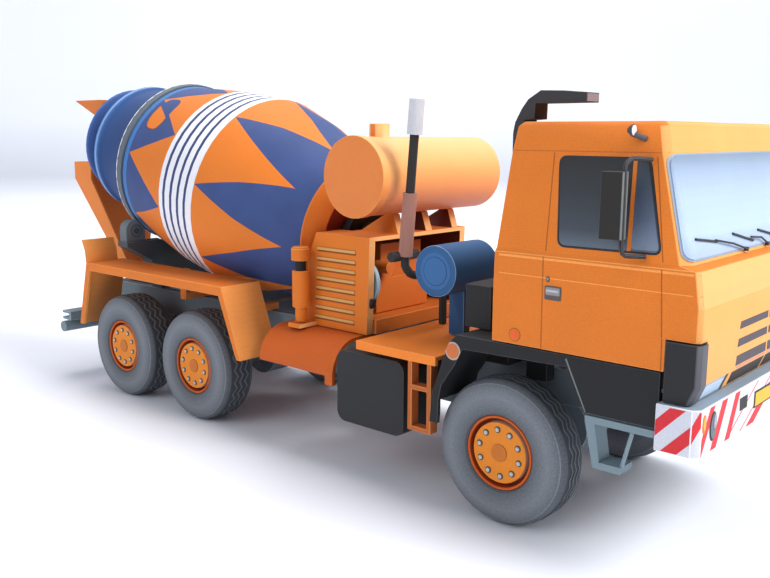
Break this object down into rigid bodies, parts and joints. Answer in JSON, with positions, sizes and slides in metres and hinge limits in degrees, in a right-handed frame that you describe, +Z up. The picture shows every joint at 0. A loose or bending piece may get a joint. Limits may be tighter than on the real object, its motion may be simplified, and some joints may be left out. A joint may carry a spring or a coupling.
{
  "type": "card model concrete mixer truck",
  "caption": "Small card model of a cab-over concrete mixer truck with rolling wheels and a tilted drum that turns behind the cab.",
  "frame": {"origin": "on the ground under the middle of the model's length and width", "axes": "+X towards the front bumper, +Y to the model's left, +Z up"},
  "size_m": [0.2726, 0.0886, 0.1116],
  "materials": {
    "card_orange": "matte printed card",
    "card_blue": "matte printed card",
    "card_light_blue": "matte printed card",
    "card_black": "matte printed card",
    "card_grey": "matte printed card",
    "card_light_grey": "matte printed card",
    "card_white": "matte printed card",
    "hoop_grey": "matte printed card",
    "tyre_grey": "matte printed card with pressed tread"
  },
  "bodies": {
    "chassis": {"chassis_frame": "card_grey", "front_axle": "card_grey", "mid_axle": "card_grey", "rear_axle": "card_grey", "backbone_tube": "card_grey", "bogie_tube": "card_grey", "underrun_bar": "card_light_grey", "rear_fender_right": "card_orange", "rear_fender_left": "card_orange", "side_skirt_right": "card_orange", "side_skirt_left": "card_orange", "deck_plate": "card_orange", "fuel_tank": "card_black", "battery_box": "card_black", "engine_base": "card_orange", "engine_cover": "card_orange", "engine_block": "card_orange", "cooling_fan": "card_light_grey", "filter_canister": "card_orange", "exhaust_stack": "card_black", "water_tank": "card_orange", "air_tank": "card_light_blue", "intake_box": "card_black", "snorkel": "card_black", "cab_shell": "card_orange", "cab_mount": "card_black", "front_valance": "card_black", "front_fender_right": "card_black", "front_fender_left": "card_black", "cab_step_right": "card_light_grey", "cab_step_left": "card_light_grey", "front_bumper": "card_white", "mirror_right": "card_black", "mirror_left": "card_black", "drum_gearbox": "card_black", "drum_pedestal": "card_grey", "discharge_hopper": "card_orange", "charging_hopper": "card_orange"},
    "wheel_front_right": {"tyre_front_right": "tyre_grey", "rim_front_right": "card_orange"},
    "wheel_front_left": {"tyre_front_left": "tyre_grey", "rim_front_left": "card_orange"},
    "wheel_mid_right": {"tyre_mid_right": "tyre_grey", "rim_mid_right": "card_orange"},
    "wheel_mid_left": {"tyre_mid_left": "tyre_grey", "rim_mid_left": "card_orange"},
    "wheel_rear_right": {"tyre_rear_right": "tyre_grey", "rim_rear_right": "card_orange"},
    "wheel_rear_left": {"tyre_rear_left": "tyre_grey", "rim_rear_left": "card_orange"},
    "drum": {"mixer_drum": "card_blue", "drum_hoop": "hoop_grey"}
  },
  "joints": [
    {"name": "front_right_wheel_spin", "type": "hinge", "parent": "chassis", "child": "wheel_front_right", "pos_m": [0.08625, -0.03, 0.0182], "axis": [0, 1, 0], "continuous": true},
    {"name": "front_left_wheel_spin", "type": "hinge", "parent": "chassis", "child": "wheel_front_left", "pos_m": [0.08625, 0.03, 0.0182], "axis": [0, 1, 0], "continuous": true},
    {"name": "mid_right_wheel_spin", "type": "hinge", "parent": "chassis", "child": "wheel_mid_right", "pos_m": [-0.03415, -0.03, 0.0182], "axis": [0, 1, 0], "continuous": true},
    {"name": "mid_left_wheel_spin", "type": "hinge", "parent": "chassis", "child": "wheel_mid_left", "pos_m": [-0.03415, 0.03, 0.0182], "axis": [0, 1, 0], "continuous": true},
    {"name": "rear_right_wheel_spin", "type": "hinge", "parent": "chassis", "child": "wheel_rear_right", "pos_m": [-0.07535, -0.03, 0.0182], "axis": [0, 1, 0], "continuous": true},
    {"name": "rear_left_wheel_spin", "type": "hinge", "parent": "chassis", "child": "wheel_rear_left", "pos_m": [-0.07535, 0.03, 0.0182], "axis": [0, 1, 0], "continuous": true},
    {"name": "drum_spin", "type": "hinge", "parent": "chassis", "child": "drum", "pos_m": [-0.05375, 0, 0.0763], "axis": [0.9778, 0, -0.2096], "continuous": true}
  ]
}
